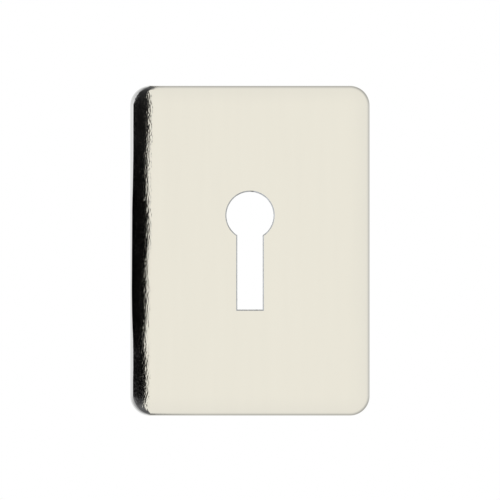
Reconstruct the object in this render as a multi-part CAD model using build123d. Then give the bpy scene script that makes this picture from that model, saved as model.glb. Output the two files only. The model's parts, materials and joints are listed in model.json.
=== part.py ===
from build123d import *
import os
from math import asin, degrees

# Keyhole escutcheon: one plated metal plate with a softly crowned front edge and a keyhole.
# Millimetres. It stands upright as fitted: +Z is up, the front faces -Y and the back lies on Y = 0.
# The origin is on the key's axis, in the plane of the back.

# Plate
plate_width = 25.4
plate_height = 35.0
plate_thickness = 2.0
corner_radius = 2.1

# Front edge: the crown springs from the corner centres and ends in a tighter edge round
crown_radius = 12.0
edge_round = 0.4

# Back edge, eased where the blank was sheared
back_ease = 0.15

# Keyhole, centred on the plate: a round hole for the shank over a slot for the bit
shank_hole_diameter = 5.0
bit_slot_width = 2.7
keyhole_height = 12.5
keyhole_ease = 0.12

# The flat land lies inside the crown, and the key's axis stands above the plate's centre
land_width = plate_width - 2 * corner_radius
land_height = plate_height - 2 * corner_radius
shank_hole_radius = shank_hole_diameter / 2
key_axis_rise = keyhole_height / 2 - shank_hole_radius


def rim_section():
    # X runs outward from the edge of the land, Z runs from the back to the front
    crown_turn = degrees(asin((corner_radius - edge_round) / (crown_radius - edge_round)))
    with BuildSketch(Plane.XZ) as section:
        with BuildLine():
            crown = JernArc((0, plate_thickness), (1, 0), crown_radius, -crown_turn)
            edge = JernArc(crown @ 1, crown % 1, edge_round, crown_turn - 90)
            Polyline(
                edge @ 1,
                (corner_radius, back_ease),
                (corner_radius - back_ease, 0),
                (0, 0),
                crown @ 0,
            )
        make_face()
    return section.sketch


def crowned_blank():
    # A quarter of the plate, then its mirror images
    section = rim_section()
    quarter = Box(land_width / 2, land_height / 2, plate_thickness, align=Align.MIN)
    quarter += Pos(X=land_width / 2) * extrude(section, land_height / 2, dir=(0, 1, 0))
    quarter += Pos(Y=land_height / 2) * extrude(Rot(Z=90) * section, land_width / 2, dir=(1, 0, 0))
    quarter += Pos(land_width / 2, land_height / 2) * revolve(section, Axis.Z, 90)
    half = quarter + mirror(quarter, Plane.YZ)
    return half + mirror(half, Plane.XZ)


def keyhole():
    slot_length = keyhole_height - shank_hole_radius
    slot = Rectangle(bit_slot_width, slot_length, align=(Align.CENTER, Align.MAX))
    return Circle(shank_hole_radius) + slot


def escutcheon_plate():
    plate = Pos(Y=-key_axis_rise) * crowned_blank()
    plate -= extrude(keyhole(), plate_thickness)
    land = plate.faces().sort_by(Axis.Z)[-1]
    plate = chamfer(land.inner_wires().edges(), keyhole_ease)
    return Rot(X=90) * plate


os.makedirs("parts", exist_ok=True)
export_step(escutcheon_plate(), "parts/escutcheon_plate.step")
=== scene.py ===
import json
import math

import bmesh
import bpy
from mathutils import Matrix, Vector


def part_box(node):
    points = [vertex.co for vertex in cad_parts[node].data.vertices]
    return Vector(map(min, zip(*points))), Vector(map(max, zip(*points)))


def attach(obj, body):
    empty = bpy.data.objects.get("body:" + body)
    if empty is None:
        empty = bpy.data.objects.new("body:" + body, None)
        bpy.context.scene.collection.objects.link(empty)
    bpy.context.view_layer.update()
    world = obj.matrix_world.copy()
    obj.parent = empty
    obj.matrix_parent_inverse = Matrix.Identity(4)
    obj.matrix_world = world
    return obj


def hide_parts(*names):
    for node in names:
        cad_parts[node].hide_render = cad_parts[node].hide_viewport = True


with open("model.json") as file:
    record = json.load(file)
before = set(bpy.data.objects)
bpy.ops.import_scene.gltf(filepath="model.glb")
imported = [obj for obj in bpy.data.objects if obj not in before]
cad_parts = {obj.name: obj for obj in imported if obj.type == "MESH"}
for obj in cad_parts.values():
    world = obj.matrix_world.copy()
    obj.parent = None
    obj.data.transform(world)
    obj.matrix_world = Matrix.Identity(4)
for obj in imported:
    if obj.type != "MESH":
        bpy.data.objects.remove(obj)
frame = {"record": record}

mm = 0.001
quarterTurn = math.pi / 2
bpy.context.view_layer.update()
plateNode = "escutcheon_plate"
plateLow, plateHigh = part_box(plateNode)
plateCentre = (Vector(plateLow) + Vector(plateHigh)) / 2
keyBore = next(m for m in frame["record"]["mounts"] if m["name"] == "key_bore")
print("frame loaded, plate", [round((b - a) / mm, 2) for a, b in zip(plateLow, plateHigh)], "mm")


# sets or links each socket of a new node, and returns the node
def addNode(tree, kind, sockets=None, **settings):
    node = tree.nodes.new(kind)
    for name, value in settings.items():
        setattr(node, name, value)
    for key, value in (sockets or {}).items():
        if isinstance(value, bpy.types.NodeSocket):
            tree.links.new(value, node.inputs[key])
        else:
            node.inputs[key].default_value = value
    return node


def calc(tree, operation, *values):
    return addNode(tree, "ShaderNodeMath", dict(enumerate(values)), operation=operation).outputs[0]


def negative(tree, value):
    return calc(tree, "MULTIPLY", value, -1.0)


def half(tree, value):
    return calc(tree, "MULTIPLY", value, 0.5)


def double(tree, value):
    return calc(tree, "MULTIPLY", value, 2.0)


def average(tree, one, other):
    return half(tree, calc(tree, "ADD", one, other))


def vectorCalc(tree, operation, *values):
    return addNode(tree, "ShaderNodeVectorMath", dict(enumerate(values)), operation=operation).outputs[0]


def vectorMeasure(tree, operation, *values):
    node = addNode(tree, "ShaderNodeVectorMath", dict(enumerate(values)), operation=operation)
    return node.outputs["Value"]


def point(tree, x=0.0, y=0.0, z=0.0):
    return addNode(tree, "ShaderNodeCombineXYZ", {0: x, 1: y, 2: z}).outputs[0]


def parts(tree, vector):
    return addNode(tree, "ShaderNodeSeparateXYZ", {0: vector}).outputs


plateSizes = {
    "Plate Width": plateHigh.x - plateLow.x,
    "Plate Height": plateHigh.z - plateLow.z,
    "Plate Thickness": plateHigh.y - plateLow.y,
    "Corner Radius": 2.1 * mm,
    "Crown Radius": 12.0 * mm,
    "Edge Round": 0.4 * mm,
    "Back Ease": 0.15 * mm,
    "Shank Hole Radius": keyBore["dims"]["r_mm"] * mm,
    "Bit Slot Width": 2.7 * mm,
    "Keyhole Height": 12.5 * mm,
    "Keyhole Ease": 0.12 * mm,
}

halfWidth, halfHeight = plateSizes["Plate Width"] / 2, plateSizes["Plate Height"] / 2
landSide = halfWidth - plateSizes["Corner Radius"]   # how far from the middle the crown springs


# Finishes. The sizes of each pattern are in mm, across, through and up the plate
noiseSpan = (0.3, 0.7)   # where most values of a pattern lie

polishedNickel = {
    "tone": (0.829, 0.797, 0.693),
    "toneDrift": 0.012,              # share by which the drift darkens the tone
    "drift": {"sizes": (1.1, 1.1, 16.0), "detail": 3.0, "seed": 1.0},
    "roughness": (0.06, 0.10),       # on the crown
    "landRoughness": 0.02,
    "streaks": {"sizes": (0.15, 0.15, 0.34), "detail": 1.0},
    "passes": ((5, 2.0), (-5, 7.0)),   # degrees by which each pass of the polish slants, and its seed
    "streakHeight": 0.0104,          # mm, on the crown
    "landStreaks": 0.006,            # share of that height on the land
    "crownBlend": (-0.42, 0.14),     # mm outward from the land's edge, over which the streaks grow
    "sideBlend": (0.25, 0.50),       # mm inward from the sides, over which they grow too
    "endBlend": (0.35, 1.10),        # and from the top and bottom
    "waves": {"sizes": (1.6, 1.6, 3.0), "detail": 1.0, "seed": 3.0},
    "waveHeight": 0.006,
    "crownLean": [                   # mm up from the middle, and degrees by which the crown is steeper there
        (-15.5, 0.26), (-11.5, -0.05), (-9, -0.78), (-6.5, -0.05), (-4, -0.1), (-1.8, -0.48),
        (0.5, 0.31), (3.2, 0.39), (6.5, -0.47), (10, -0.55), (13, 0.16), (15.5, 0.18),
    ],
}

# the punch drew its marks out through the thickness
punchedNickel = {
    "tone": (0.74, 0.71, 0.62),
    "toneDrift": 0.10,
    "roughness": (0.16, 0.34),
    "drag": {"sizes": (0.10, 1.6, 0.10), "detail": 3.0, "seed": 4.0},
    "markHeight": 0.004,
}

# the keyhole's lip has a cooler, less bright tone than the face
rolledNickel = {
    "tone": (0.735, 0.745, 0.74),
    "toneDrift": 0.08,
    "roughness": (0.08, 0.16),
    "rub": {"sizes": (0.35, 0.20, 0.35), "detail": 2.0, "seed": 8.0},
    "markHeight": 0.002,
}

# the belt ran across the back
linishedNickel = {
    "tone": (0.70, 0.675, 0.60),
    "toneDrift": 0.14,
    "roughness": (0.26, 0.44),
    "grain": {"sizes": (5.5, 0.4, 0.07), "detail": 4.0, "seed": 5.0},
    "cloud": {"sizes": (7.0, 7.0, 7.0), "detail": 2.0, "seed": 6.0},
    "markHeight": 0.0035,
}


def newMaterial(name):
    material = bpy.data.materials.new(name)
    material.use_nodes = True
    material.node_tree.nodes.clear()
    return material, material.node_tree


def objectPlace(tree):
    return addNode(tree, "ShaderNodeTexCoord").outputs["Object"]


def noiseAt(tree, place, sizes, detail, seed):
    spread = addNode(tree, "ShaderNodeMapping", {"Vector": place, "Scale": [1 / (s * mm) for s in sizes]})
    noise = addNode(
        tree,
        "ShaderNodeTexNoise",
        {"Vector": spread.outputs[0], "W": seed, "Scale": 1.0, "Detail": detail},
        noise_dimensions="4D",
    )
    return noise.outputs["Fac"]


def turned(tree, place, turn):
    return addNode(tree, "ShaderNodeMapping", {"Vector": place, "Rotation": (0, turn, 0)}).outputs[0]


def rescale(tree, value, low, high, span=(0.0, 1.0)):
    sockets = {0: value, 1: span[0], 2: span[1], 3: low, 4: high}
    return addNode(tree, "ShaderNodeMapRange", sockets).outputs[0]


def between(tree, pattern, low, high):
    return rescale(tree, pattern, low, high, noiseSpan)


def smoothStep(tree, value, start, end):
    sockets = {0: value, 1: start, 2: end}
    return addNode(tree, "ShaderNodeMapRange", sockets, interpolation_type="SMOOTHSTEP").outputs[0]


# a value that runs smoothly through stops, each a place in mm and the value there
def valueAlong(tree, place, stops):
    first, last = stops[0][0], stops[-1][0]
    most = max(abs(value) for _, value in stops)
    share = rescale(tree, place, 0.0, 1.0, (first * mm, last * mm))
    curve = addNode(tree, "ShaderNodeFloatCurve", {"Value": share})
    track = curve.mapping.curves[0].points
    spots = [((at - first) / (last - first), (1 + value / most) / 2) for at, value in stops]
    track[0].location, track[1].location = spots[0], spots[-1]
    for spot in spots[1:-1]:
        track.new(*spot)
    curve.mapping.update()
    return rescale(tree, curve.outputs[0], -most, most)


def blend(tree, factor, tone, other):
    return addNode(tree, "ShaderNodeMix", {0: factor, 6: tone, 7: other}, data_type="RGBA").outputs[2]


# the tone, darkened by up to a share where the pattern is high
def shadedTone(tree, tone, share, pattern):
    dark = [c * (1 - share) for c in tone]
    return blend(tree, between(tree, pattern, 0.0, 1.0), (*tone, 1), (*dark, 1))


def bump(tree, height, distance, normal=None, share=1.0):
    sockets = {"Height": height, "Distance": distance, "Strength": share}
    if normal:
        sockets["Normal"] = normal
    return addNode(tree, "ShaderNodeBump", sockets).outputs[0]


def finishMetal(tree, tone, roughness, normal):
    shader = addNode(
        tree,
        "ShaderNodeBsdfPrincipled",
        {"Base Color": tone, "Metallic": 1.0, "Roughness": roughness, "Normal": normal},
    )
    addNode(tree, "ShaderNodeOutputMaterial", {"Surface": shader.outputs[0]})


# metal as rough and as high as its marks are, with its tone shaded by a pattern
def finishMarked(tree, spec, marks, pattern):
    tone = shadedTone(tree, spec["tone"], spec["toneDrift"], pattern)
    normal = bump(tree, marks, spec["markHeight"] * mm)
    finishMetal(tree, tone, between(tree, marks, *spec["roughness"]), normal)


# 1 on the side crowns, and 0 on the land and round the edge
def onSideCrowns(tree, across, upward):
    spec = polishedNickel
    grown = smoothStep(tree, across, *[landSide + b * mm for b in spec["crownBlend"]])
    for reach, limit, span in ((across, halfWidth, "sideBlend"), (upward, halfHeight, "endBlend")):
        inside = smoothStep(tree, reach, *[limit - b * mm for b in spec[span]])
        grown = calc(tree, "MULTIPLY", grown, inside)
    return grown


def makePolishedNickel():
    spec = polishedNickel
    material, tree = newMaterial("polishedNickel")
    place = objectPlace(tree)
    drift = noiseAt(tree, place, **spec["drift"])
    waves = noiseAt(tree, place, **spec["waves"])
    passes = [
        noiseAt(tree, turned(tree, place, math.radians(slant)), **spec["streaks"], seed=seed)
        for slant, seed in spec["passes"]
    ]
    streaks = average(tree, *passes)
    along = parts(tree, vectorCalc(tree, "SUBTRACT", place, plateCentre))
    across, upward = [calc(tree, "ABSOLUTE", along[axis]) for axis in "XZ"]
    grown = onSideCrowns(tree, across, upward)
    share = rescale(tree, grown, spec["landStreaks"], 1.0)
    lean = calc(tree, "RADIANS", valueAlong(tree, along["Z"], spec["crownLean"]))
    fall = calc(tree, "MULTIPLY", lean, calc(tree, "SUBTRACT", landSide, across))
    normal = bump(tree, fall, 1.0, share=share)   # the fall is a height already
    normal = bump(tree, waves, spec["waveHeight"] * mm, normal, share)
    normal = bump(tree, streaks, spec["streakHeight"] * mm, normal, share)
    rough = rescale(tree, grown, spec["landRoughness"], between(tree, streaks, *spec["roughness"]))
    tone = shadedTone(tree, spec["tone"], spec["toneDrift"], drift)
    finishMetal(tree, tone, rough, normal)
    return material


def makePunchedNickel():
    material, tree = newMaterial("punchedNickel")
    drag = noiseAt(tree, objectPlace(tree), **punchedNickel["drag"])
    finishMarked(tree, punchedNickel, drag, drag)
    return material


def makeRolledNickel():
    material, tree = newMaterial("rolledNickel")
    rub = noiseAt(tree, objectPlace(tree), **rolledNickel["rub"])
    finishMarked(tree, rolledNickel, rub, rub)
    return material


def makeLinishedNickel():
    material, tree = newMaterial("linishedNickel")
    place = objectPlace(tree)
    grain, cloud = [noiseAt(tree, place, **linishedNickel[name]) for name in ("grain", "cloud")]
    finishMarked(tree, linishedNickel, grain, average(tree, grain, cloud))
    return material


finishes = [makePolishedNickel(), makePunchedNickel(), makeRolledNickel(), makeLinishedNickel()]
faceFinish, wallFinish, lipFinish, backFinish = range(len(finishes))
print("finishes made:", ", ".join(m.name for m in finishes))


# The plate, drawn lying on its back and then stood upright
plateSteps = {"corner": 28, "crown": 33, "edge": 15, "hole": 97}
flatMargin = 0.04 * mm   # how close to its ends a flat stretch gets another row of points, to shade flat
weldDistance = 0.001 * mm
sharpAngle = math.radians(25)


def arc(tree, steps, radius, start, sweep):
    sockets = {"Resolution": steps, "Radius": radius, "Start Angle": start, "Sweep Angle": sweep}
    return addNode(tree, "GeometryNodeCurveArc", sockets).outputs[0]


def lineChain(tree, stops):
    lines = [
        addNode(tree, "GeometryNodeCurvePrimitiveLine", {"Start": start, "End": end})
        for start, end in zip(stops, stops[1:])
    ]
    return [line.outputs[0] for line in lines]


def rectangle(tree, width, height):
    sockets = {"Width": width, "Height": height}
    return addNode(tree, "GeometryNodeCurvePrimitiveQuadrilateral", sockets).outputs[0]


def joined(tree, pieces):
    join = addNode(tree, "GeometryNodeJoinGeometry")
    for piece in pieces:
        tree.links.new(piece, join.inputs[0])
    return join.outputs[0]


def moved(tree, geometry, shift):
    sockets = {"Geometry": geometry, "Translation": shift}
    return addNode(tree, "GeometryNodeTransform", sockets).outputs[0]


def welded(tree, geometry):
    sockets = {"Geometry": geometry, "Distance": weldDistance}
    return addNode(tree, "GeometryNodeMergeByDistance", sockets).outputs[0]


def store(tree, geometry, name, value, kind, domain, chosen=True):
    return addNode(
        tree,
        "GeometryNodeStoreNamedAttribute",
        {"Geometry": geometry, "Selection": chosen, "Name": name, "Value": value},
        data_type=kind,
        domain=domain,
    ).outputs[0]


def stored(tree, name, kind):
    return addNode(tree, "GeometryNodeInputNamedAttribute", {"Name": name}, data_type=kind).outputs[0]


def markFinish(tree, geometry, finish, chosen=True):
    return store(tree, geometry, "finish", finish, "INT", "FACE", chosen)


# two points on each straight side of an outline, close to its ends
def addFlatEnds(tree, outline, position, landReach, corner):
    ahead = addNode(tree, "GeometryNodeOffsetPointInCurve", {"Offset": 1}).outputs["Point Index"]
    nextPlace = addNode(
        tree, "GeometryNodeFieldAtIndex", {"Index": ahead, "Value": position}, data_type="FLOAT_VECTOR"
    )
    step = vectorMeasure(tree, "DISTANCE", position, nextPlace.outputs[0])
    cuts = double(tree, calc(tree, "GREATER_THAN", step, corner))
    cut = addNode(tree, "GeometryNodeSubdivideCurve", {"Curve": outline, "Cuts": cuts})
    flatReach = vectorCalc(tree, "SUBTRACT", landReach, (flatMargin,) * 3)
    spread = vectorCalc(tree, "MAXIMUM", vectorCalc(tree, "ABSOLUTE", position), flatReach)
    spread = vectorCalc(tree, "MULTIPLY", spread, vectorCalc(tree, "SIGN", position))
    return addNode(
        tree, "GeometryNodeSetPosition", {"Geometry": cut.outputs[0], "Position": spread}
    ).outputs[0]


def plateOutline(tree, size, position, landReach):
    box = rectangle(tree, size["Plate Width"], size["Plate Height"])
    rounded = addNode(
        tree,
        "GeometryNodeFilletCurve",
        {"Curve": box, "Count": plateSteps["corner"], "Radius": size["Corner Radius"]},
        mode="POLY",
    )
    return addFlatEnds(tree, rounded.outputs[0], position, landReach, size["Corner Radius"])


# each point's direction straight out of the land
def outOfLand(tree, position, landReach):
    landPoint = vectorCalc(tree, "MINIMUM", position, landReach)
    landPoint = vectorCalc(tree, "MAXIMUM", landPoint, vectorCalc(tree, "MULTIPLY", landReach, (-1, -1, -1)))
    return vectorCalc(tree, "NORMALIZE", vectorCalc(tree, "SUBTRACT", position, landPoint))


# section of the rim, outward from the outline and up from the back: the crown springs from the land's
# edge and turns into the edge round
def rimSection(tree, size):
    corner, edge, backEase = size["Corner Radius"], size["Edge Round"], size["Back Ease"]
    radiusGap = calc(tree, "SUBTRACT", size["Crown Radius"], edge)
    crownRun = calc(tree, "SUBTRACT", corner, edge)
    crownTurn = calc(tree, "ARCSINE", calc(tree, "DIVIDE", crownRun, radiusGap))
    crownCentre = calc(tree, "SUBTRACT", size["Plate Thickness"], size["Crown Radius"])
    sideTop = calc(tree, "MULTIPLY_ADD", radiusGap, calc(tree, "COSINE", crownTurn), crownCentre)
    edgeTurn = calc(tree, "SUBTRACT", quarterTurn, crownTurn)
    crown = arc(tree, plateSteps["crown"], size["Crown Radius"], quarterTurn, negative(tree, crownTurn))
    edgeRound = arc(tree, plateSteps["edge"], edge, edgeTurn, negative(tree, edgeTurn))
    sideStops = [
        point(tree, y=sideTop),
        point(tree, y=calc(tree, "SUBTRACT", sideTop, flatMargin)),
        point(tree, y=backEase),
        point(tree, negative(tree, backEase)),
    ]
    stretches = [
        moved(tree, crown, point(tree, negative(tree, corner), crownCentre)),
        moved(tree, edgeRound, point(tree, negative(tree, edge), sideTop)),
        *lineChain(tree, sideStops),
    ]
    return joined(tree, stretches)


def sweepRim(tree, size, outline, outward):
    clockwise = addNode(tree, "GeometryNodeReverseCurve", {"Curve": outline})   # stands the section up
    path = addNode(
        tree, "GeometryNodeSetCurveNormal", {"Curve": clockwise.outputs[0], "Normal": outward}, mode="FREE"
    )
    sockets = {"Curve": path.outputs[0], "Profile Curve": rimSection(tree, size)}
    return addNode(tree, "GeometryNodeCurveToMesh", sockets).outputs[0]


# the keyhole's closed outline as mesh edges, larger all round by the amount it grows
def keyholeLoop(tree, size, grow, rise):
    radius = calc(tree, "ADD", size["Shank Hole Radius"], grow)
    halfSlot = calc(tree, "ADD", half(tree, size["Bit Slot Width"]), grow)
    foot = calc(tree, "SUBTRACT", size["Shank Hole Radius"], calc(tree, "ADD", size["Keyhole Height"], grow))
    halfGap = calc(tree, "ARCSINE", calc(tree, "DIVIDE", halfSlot, radius))
    neck = calc(tree, "MULTIPLY", calc(tree, "COSINE", halfGap), negative(tree, radius))
    left = negative(tree, halfSlot)
    start = calc(tree, "SUBTRACT", halfGap, quarterTurn)
    sweep = calc(tree, "SUBTRACT", 2 * math.pi, double(tree, halfGap))
    shankHole = arc(tree, plateSteps["hole"], radius, start, sweep)
    spots = ((left, neck), (left, foot), (halfSlot, foot), (halfSlot, neck))
    slot = lineChain(tree, [point(tree, x, y) for x, y in spots])
    edges = addNode(tree, "GeometryNodeCurveToMesh", {"Curve": joined(tree, [shankHole, *slot])})
    return moved(tree, welded(tree, edges.outputs[0]), point(tree, y=rise))


def raiseEdges(tree, mesh, height, chosen=True):
    return addNode(
        tree,
        "GeometryNodeExtrudeMesh",
        {"Mesh": mesh, "Selection": chosen, "Offset": point(tree, z=height), "Offset Scale": 1.0},
        mode="EDGES",
    )


# the keyhole's wall with the lip that opens it at the front, and the choice of the lip's faces
def keyholeWall(tree, size, position, loop, easedLoop):
    index = addNode(tree, "GeometryNodeInputIndex").outputs[0]
    easedPlace = addNode(
        tree,
        "GeometryNodeSampleIndex",
        {"Geometry": easedLoop, "Value": position, "Index": index},
        data_type="FLOAT_VECTOR",
    )
    shift = vectorCalc(tree, "SUBTRACT", easedPlace.outputs[0], position)
    foot = store(tree, loop, "easeShift", shift, "FLOAT_VECTOR", "POINT")
    wall = raiseEdges(tree, foot, calc(tree, "SUBTRACT", size["Plate Thickness"], size["Keyhole Ease"]))
    lip = raiseEdges(tree, wall.outputs[0], size["Keyhole Ease"], wall.outputs["Top"])
    opened = addNode(
        tree,
        "GeometryNodeSetPosition",
        {
            "Geometry": lip.outputs[0],
            "Selection": lip.outputs["Top"],
            "Offset": stored(tree, "easeShift", "FLOAT_VECTOR"),
        },
    )
    return opened.outputs[0], lip.outputs["Side"]


# a flat face between an outline and a loop
def fillBetween(tree, outline, loop, height):
    inner = addNode(tree, "GeometryNodeMeshToCurve", {"Mesh": loop}).outputs[0]
    fill = addNode(tree, "GeometryNodeFillCurve", {"Curve": joined(tree, [outline, inner])})
    return moved(tree, fill.outputs[0], point(tree, z=height))


# smooth but for the crisp edges
def shadeSkin(tree, geometry):
    smooth = addNode(tree, "GeometryNodeSetShadeSmooth", {"Geometry": geometry, "Shade Smooth": True})
    angle = addNode(tree, "GeometryNodeInputMeshEdgeAngle").outputs[0]
    crisp = calc(tree, "GREATER_THAN", angle, sharpAngle)
    return addNode(
        tree,
        "GeometryNodeSetShadeSmooth",
        {"Geometry": smooth.outputs[0], "Selection": crisp, "Shade Smooth": False},
        domain="EDGE",
    ).outputs[0]


def setFinishes(tree, geometry, given):
    geometry = addNode(tree, "GeometryNodeRealizeInstances", {"Geometry": geometry}).outputs[0]
    finish = stored(tree, "finish", "INT")
    for number, material in enumerate(finishes):
        chosen = calc(tree, "COMPARE", finish, float(number), 0.5)   # the nearest whole number
        geometry = addNode(
            tree,
            "GeometryNodeSetMaterial",
            {"Geometry": geometry, "Selection": chosen, "Material": given[material.name]},
        ).outputs[0]
    return geometry


def makePlateTree():
    tree = bpy.data.node_groups.new("crownedPlate", "GeometryNodeTree")
    tree.interface.new_socket("Geometry", in_out="OUTPUT", socket_type="NodeSocketGeometry")
    for name in plateSizes:
        tree.interface.new_socket(name, in_out="INPUT", socket_type="NodeSocketFloat")
    for material in finishes:
        tree.interface.new_socket(material.name, in_out="INPUT", socket_type="NodeSocketMaterial")
    given = addNode(tree, "NodeGroupInput").outputs
    size = {name: given[name] for name in plateSizes}
    corner, backEase = size["Corner Radius"], size["Back Ease"]
    position = addNode(tree, "GeometryNodeInputPosition").outputs[0]

    landWidth, landHeight = [
        calc(tree, "SUBTRACT", size[name], double(tree, corner)) for name in ("Plate Width", "Plate Height")
    ]
    landReach = point(tree, half(tree, landWidth), half(tree, landHeight))
    outline = plateOutline(tree, size, position, landReach)
    outward = outOfLand(tree, position, landReach)
    rim = sweepRim(tree, size, outline, outward)

    rise = calc(tree, "SUBTRACT", half(tree, size["Keyhole Height"]), size["Shank Hole Radius"])
    loop, easedLoop = [keyholeLoop(tree, size, grow, rise) for grow in (0.0, size["Keyhole Ease"])]
    wall, onLip = keyholeWall(tree, size, position, loop, easedLoop)

    landBox = rectangle(tree, landWidth, landHeight)
    landOutline = addFlatEnds(tree, landBox, position, landReach, corner)
    land = fillBetween(tree, landOutline, easedLoop, size["Plate Thickness"])
    inward = point(tree, *[negative(tree, backEase)] * 3)
    backStep = vectorCalc(tree, "MULTIPLY", outward, inward)
    backOutline = addNode(tree, "GeometryNodeSetPosition", {"Geometry": outline, "Offset": backStep})
    back = fillBetween(tree, backOutline.outputs[0], loop, 0.0)

    # the belt that finished the back eased its edge
    onEase = calc(tree, "LESS_THAN", parts(tree, position)["Z"], backEase)
    faces = [
        markFinish(tree, markFinish(tree, rim, faceFinish), backFinish, onEase),
        markFinish(tree, land, faceFinish),
        markFinish(tree, markFinish(tree, wall, wallFinish), lipFinish, onLip),
        markFinish(tree, back, backFinish),
    ]
    upright = addNode(
        tree,
        "GeometryNodeTransform",
        {
            "Geometry": welded(tree, joined(tree, faces)),
            "Translation": point(tree, z=negative(tree, rise)),
            "Rotation": (quarterTurn, 0.0, 0.0),
        },
    )
    skin = shadeSkin(tree, upright.outputs[0])
    addNode(tree, "NodeGroupOutput", {0: setFinishes(tree, skin, given)})
    return tree


def makePlate():
    tree = makePlateTree()
    maker = bpy.data.objects.new("plateMaker", bpy.data.meshes.new("plateMaker"))
    bpy.context.scene.collection.objects.link(maker)
    modifier = maker.modifiers.new("crownedPlate", "NODES")
    modifier.node_group = tree
    values = {**plateSizes, **{m.name: m for m in finishes}}
    for item in tree.interface.items_tree:
        if item.in_out == "INPUT":
            modifier[item.identifier] = values[item.name]
    maker.data.update()
    ready = maker.evaluated_get(bpy.context.evaluated_depsgraph_get())
    mesh = bpy.data.meshes.new_from_object(ready)
    bpy.data.objects.remove(maker)
    mesh.name = "escutcheonPlate"
    body = bmesh.new()
    body.from_mesh(mesh)
    bmesh.ops.recalc_face_normals(body, faces=body.faces[:])
    openEdges = sum(1 for e in body.edges if not e.is_manifold)
    body.to_mesh(mesh)
    body.free()
    plate = bpy.data.objects.new("escutcheonPlate", mesh)
    bpy.context.scene.collection.objects.link(plate)
    counts = len(mesh.vertices), "points,", len(mesh.polygons), "faces,", openEdges, "open edges"
    print("plate skinned:", *counts)
    return plate


plate = makePlate()
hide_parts(plateNode)
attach(plate, "root")


# Studio
studio = {
    "floorDrop": 25 * mm,        # the plate is held up clear of the floor, as on a drawer front
    "floorRadius": 340 * mm,
    "floorSides": 96,
    "floorFade": (0.35, 0.97),   # shares of the radius over which it turns white
    "floorTone": 0.86,
    "roomLight": 0.75,           # even light that falls on the floor
    "sideTone": (0.60, 0.62, 0.68, 1),     # what the metal sees at the sides, where the room is dullest
    "poleTone": (0.48, 0.49, 0.52, 1),     # straight up and down
    "cornerTone": (0.36, 0.37, 0.40, 1),   # and slantwise
    "dullest": math.radians(110),
    "dulling": 1.2,
    "lampPower": 0.5,
    "lampSize": 300 * mm,
    "lampPlace": (-260 * mm, -330 * mm, 420 * mm),
}

# a sheet bends round the plate's left, dark near the middle, pale further round and nearly white at its
# end; each row holds its height in mm above the plate's middle, where the dark starts and ends in degrees
# left of straight ahead, its tone, the share of the way to the pale tone that it gains towards its end,
# and the pale tone
flag = {
    "radius": 250 * mm,
    "rows": [
        (1800, 9.1, 80, 0.12, 1, 0.50),
        (520, 4.41, 80, 0.12, 1, 0.50),
        (260, 3.65, 44, 0.13, 1, 0.58),
        (160, 3.43, 34, 0.11, 1, 0.62),
        (97, 3.39, 18.5, 0.06, 0, 0.72),
        (89, 4.9, 18.5, 0.04, 0, 0.74),
        (72, 4.6, 18.5, 0.02, 0, 0.78),
        (46, 4.0, 20, 0.010, 0, 0.90),
        (24, 3.7, 25, 0.007, 0, 1.00),
        (14, 4.2, 27, 0.002, 0, 1.00),
        (10, 4.5, 41, 0.001, 0, 1.00),
        (6, 4.8, 61, 0.000, 0, 0.98),
        (-6, 6.0, 77, 0.000, 0, 0.95),
        (-9, 6.3, 68, 0.001, 0, 0.93),
        (-13.5, 6.7, 33, 0.002, 0, 0.90),
        (-17.5, 7.0, 27, 0.000, 0, 0.88),
        (-20, 7.1, 35, 0.000, 0, 0.85),
        (-22, 7.1, 33, 0.004, 0, 0.82),
        (-33, 7.4, 37, 0.030, 0.6, 0.72),
        (-56, 9.0, 37, 0.065, 1, 0.65),
        (-68, 8.9, 37, 0.130, 1, 0.58),
        (-80, 8.6, 37, 0.150, 1, 0.55),
        (-95, 4.8, 37, 0.120, 1, 0.52),
        (-114, 4.1, 37, 0.110, 1, 0.48),
        (-313, 3.95, 37, 0.170, 1, 0.42),
        (-1500, 4.5, 37, 0.250, 1, 0.42),
    ],
    "fringe": 0.03,              # degrees to each side of the start, over which it fades in
    "lightens": 18,              # degrees left, from where it gains
    "lightening": 0.7,
    "spans": 8,
    "paleFrom": 1.5,             # degrees past the end of the dark
    "tint": (0.96, 1.00, 1.15),  # of the dark and the pale tones, cool
    "outerTone": (0.88, 0.92, 1.03),
    "outerShare": 0.15,          # of the way to that tone, halfway from the end of the dark
    "outerFrom": 95,             # degrees left
    "reach": 170,
}

# dark boards above and below run on from the sheet's ends, each with a right edge that runs from front to
# back, left of the plate's middle
boards = {
    "darkRoof": {
        "height": 1800 * mm,
        "edge": (36.5 * mm, 58.7 * mm),   # how far left it is in front and at the back
        "ends": (-250 * mm, 2600 * mm),
        "tone": 0.04,
    },
    "darkGround": {
        "height": -1500 * mm,
        "edge": (35 * mm, 35 * mm),
        "ends": (-250 * mm, 250 * mm),
        "tone": 0.20,
    },
}
boardReach = 1500 * mm
white = (1, 1, 1, 1)


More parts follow.
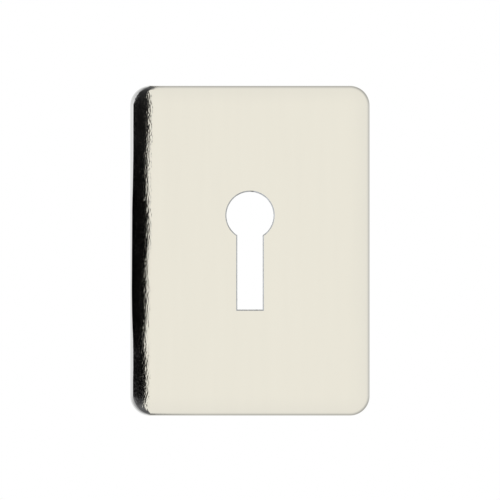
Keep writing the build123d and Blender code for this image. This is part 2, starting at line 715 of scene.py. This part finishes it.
def makeFloor():
    radius, tone = studio["floorRadius"], studio["floorTone"]
    mesh = bpy.data.meshes.new("floor")
    body = bmesh.new()
    bmesh.ops.create_circle(body, cap_ends=True, radius=radius, segments=studio["floorSides"])
    bmesh.ops.translate(body, verts=body.verts[:], vec=(0, 0, plateLow.z - studio["floorDrop"]))
    body.to_mesh(mesh)
    body.free()
    floor = bpy.data.objects.new("floor", mesh)
    bpy.context.scene.collection.objects.link(floor)
    material, tree = newMaterial("paleFloor")
    matt = addNode(tree, "ShaderNodeBsdfDiffuse", {"Color": (tone, tone, tone, 1)})
    glow = addNode(tree, "ShaderNodeEmission", {"Color": white, "Strength": 1.0})
    distance = vectorMeasure(tree, "LENGTH", vectorCalc(tree, "MULTIPLY", objectPlace(tree), (1, 1, 0)))
    fade = smoothStep(tree, distance, *[share * radius for share in studio["floorFade"]])
    mix = addNode(tree, "ShaderNodeMixShader", {0: fade, 1: matt.outputs[0], 2: glow.outputs[0]})
    addNode(tree, "ShaderNodeOutputMaterial", {"Surface": mix.outputs[0]})
    mesh.materials.append(material)
    floor.visible_glossy = False   # the metal sees an even room below


# a sheet that is seen only in the metal, as light as its points' shades
def addSheet(name, points, quads, shades):
    mesh = bpy.data.meshes.new(name)
    mesh.from_pydata(points, [], quads)
    colours = mesh.attributes.new("shade", "FLOAT_COLOR", "POINT")
    colours.data.foreach_set("color", [c for shade in shades for c in (*shade, 1)])
    sheet = bpy.data.objects.new(name, mesh)
    bpy.context.scene.collection.objects.link(sheet)
    material, tree = newMaterial(name)
    shade = addNode(tree, "ShaderNodeAttribute", attribute_name="shade").outputs["Color"]
    glow = addNode(tree, "ShaderNodeEmission", {"Color": shade, "Strength": 1.0})
    addNode(tree, "ShaderNodeOutputMaterial", {"Surface": glow.outputs[0]})
    mesh.materials.append(material)
    sheet.visible_camera = sheet.visible_diffuse = sheet.visible_shadow = False


# the points of one row, as degrees left and a shade
def flagStops(near, far, tone, gain, pale):
    stops = [(near + flag["fringe"], tone)]
    for i in range(flag["spans"] + 1):
        part = i / flag["spans"]
        shade = tone + gain * (pale - tone) * part ** flag["lightening"]
        stops.append((flag["lightens"] + (far - flag["lightens"]) * part, shade))
    stops.append((far + flag["paleFrom"], pale))
    tinted = [(turn, Vector(flag["tint"]) * shade) for turn, shade in stops]
    outer = Vector(flag["outerTone"])
    halfway = (far + flag["outerFrom"]) / 2, tinted[-1][1].lerp(outer, flag["outerShare"])
    ends = [(flag["outerFrom"], outer), (flag["reach"], outer)]
    return [(near - flag["fringe"], white[:3]), *tinted, halfway, *ends]


def makeFlag():
    points, shades = [], []
    for height, *row in flag["rows"]:
        stops = flagStops(*row)
        for turn, shade in stops:
            angle = math.radians(turn)
            points.append((
                plateCentre.x - flag["radius"] * math.sin(angle),
                plateLow.y - flag["radius"] * math.cos(angle),
                plateCentre.z + height * mm,
            ))
            shades.append(shade)
    columns = len(stops)
    quads = [
        (a, a + 1, a + 1 + columns, a + columns)
        for row in range(len(flag["rows"]) - 1)
        for a in range(row * columns, (row + 1) * columns - 1)
    ]
    addSheet("darkFlag", points, quads, shades)


def makeBoard(name, board):
    height = plateCentre.z + board["height"]
    (near, far), (front, back) = board["edge"], board["ends"]
    points = [
        (-near, front, height),
        (-far, back, height),
        (-boardReach, back, height),
        (-boardReach, front, height),
    ]
    addSheet(name, points, [(0, 1, 2, 3)], [(board["tone"],) * 3] * len(points))


def makeWorld():
    world = bpy.data.worlds.new("studio")
    bpy.context.scene.world = world
    world.use_nodes = True
    tree = world.node_tree
    tree.nodes.clear()
    rays = addNode(tree, "ShaderNodeLightPath").outputs
    along = parts(tree, addNode(tree, "ShaderNodeTexCoord").outputs["Generated"])
    # white before and behind the set, duller at its sides, and duller still above, below and slantwise
    turn = calc(tree, "ARCCOSINE", negative(tree, along["Y"]))
    rising = calc(tree, "DIVIDE", turn, studio["dullest"])
    falling = calc(tree, "DIVIDE", calc(tree, "SUBTRACT", math.pi, turn), math.pi - studio["dullest"])
    dull = calc(tree, "POWER", calc(tree, "MINIMUM", rising, falling), studio["dulling"])
    pole = calc(tree, "MULTIPLY", along["Z"], along["Z"])
    slant = calc(tree, "ABSOLUTE", calc(tree, "MULTIPLY", along["X"], along["Z"]))   # a half at most
    sides = blend(tree, pole, studio["sideTone"], studio["poleTone"])
    sides = blend(tree, double(tree, slant), sides, studio["cornerTone"])
    room = blend(tree, dull, white, sides)
    seen = calc(tree, "MAXIMUM", rays["Is Camera Ray"], rays["Is Transmission Ray"])
    tone = blend(tree, rays["Is Glossy Ray"], (*[studio["roomLight"]] * 3, 1), room)
    sky = addNode(tree, "ShaderNodeBackground", {"Color": blend(tree, seen, tone, white), "Strength": 1.0})
    addNode(tree, "ShaderNodeOutputWorld", {"Surface": sky.outputs[0]})


def makeLamp():
    light = bpy.data.lights.new("softLamp", "AREA")
    light.size = studio["lampSize"]
    light.energy = studio["lampPower"]
    lamp = bpy.data.objects.new("softLamp", light)
    lamp.location = studio["lampPlace"]
    lamp.rotation_euler = (plateCentre - lamp.location).to_track_quat("-Z", "Y").to_euler()
    lamp.visible_glossy = False
    bpy.context.scene.collection.objects.link(lamp)


makeFloor()
makeFlag()
for boardName, board in boards.items():
    makeBoard(boardName, board)
makeWorld()
makeLamp()
print("studio set")


# Camera
shot = {
    "distance": 600 * mm,
    "imageWidth": 500,           # pixels of the whole frame
    "plateWidth": 239.6,         # pixels of the plate
    "plateDrop": 0.70,           # pixels that the plate's centre lies below the middle
    "sensorWidth": 36.0,         # mm
    "clip": (10 * mm, 5000 * mm),
}


def makeCamera():
    pixel = plateSizes["Plate Width"] / shot["plateWidth"]
    data = bpy.data.cameras.new("camera")
    data.sensor_width = shot["sensorWidth"]
    data.lens = data.sensor_width * shot["distance"] / (shot["imageWidth"] * pixel)
    data.clip_start, data.clip_end = shot["clip"]
    camera = bpy.data.objects.new("camera", data)
    height = plateCentre.z + shot["plateDrop"] * pixel
    camera.location = (plateCentre.x, plateLow.y - shot["distance"], height)
    camera.rotation_euler = (quarterTurn, 0, 0)
    bpy.context.scene.collection.objects.link(camera)
    bpy.context.scene.camera = camera


makeCamera()
bpy.context.scene.view_settings.view_transform = "Standard"
print("camera placed")
